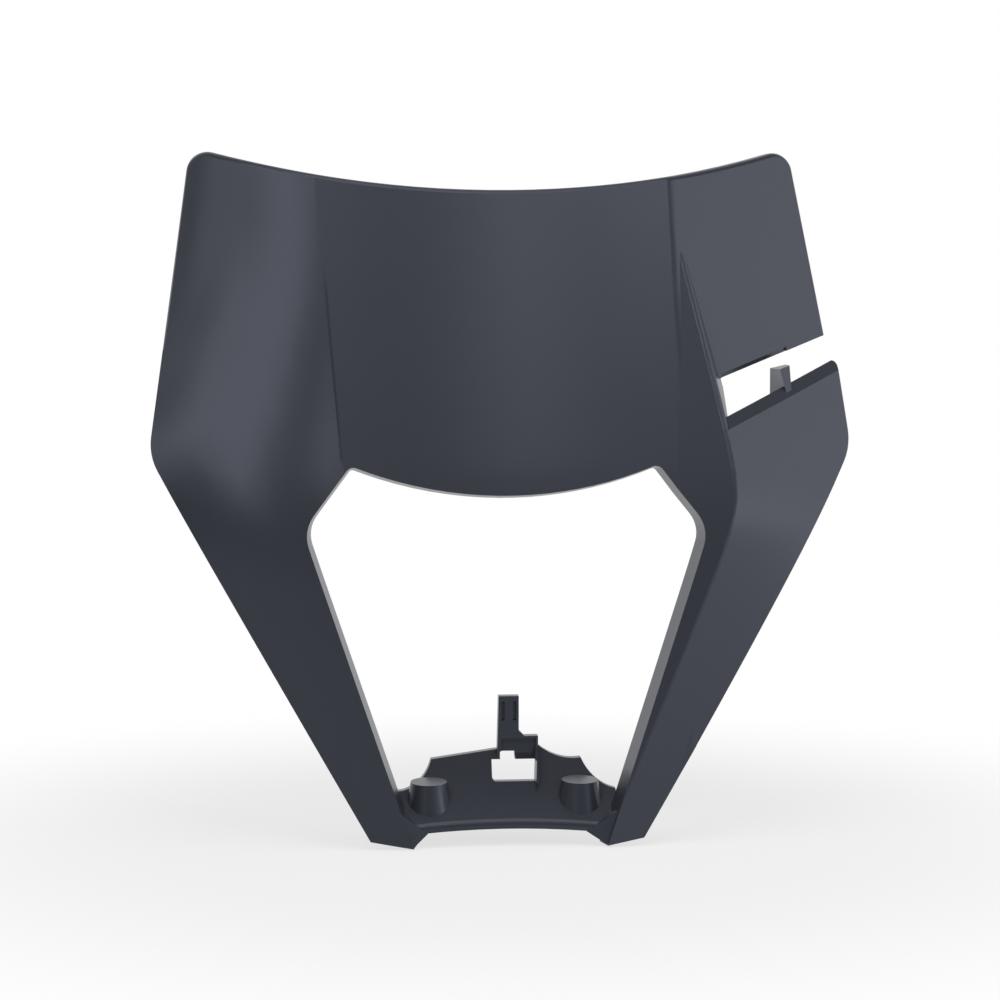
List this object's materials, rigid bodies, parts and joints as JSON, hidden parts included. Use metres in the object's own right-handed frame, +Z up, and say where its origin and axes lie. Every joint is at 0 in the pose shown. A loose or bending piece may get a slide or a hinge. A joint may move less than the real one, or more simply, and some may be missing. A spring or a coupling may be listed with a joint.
{
  "type": "headlight cowl",
  "caption": "Moulded headlight cowl of an off-road motorbike: a leaning front plate with a lamp opening between legs, a hose slot and locating sockets on its chin.",
  "frame": {"origin": "midway between the mouths of the two locating sockets under the chin", "axes": "+X to the right as seen from the front, +Y back towards the rider, +Z up"},
  "size_m": [0.2972, 0.103, 0.2882],
  "materials": {
    "moulding": "satin"
  },
  "bodies": {
    "root": {"headlight_cowl": "moulding"}
  },
  "joints": []
}
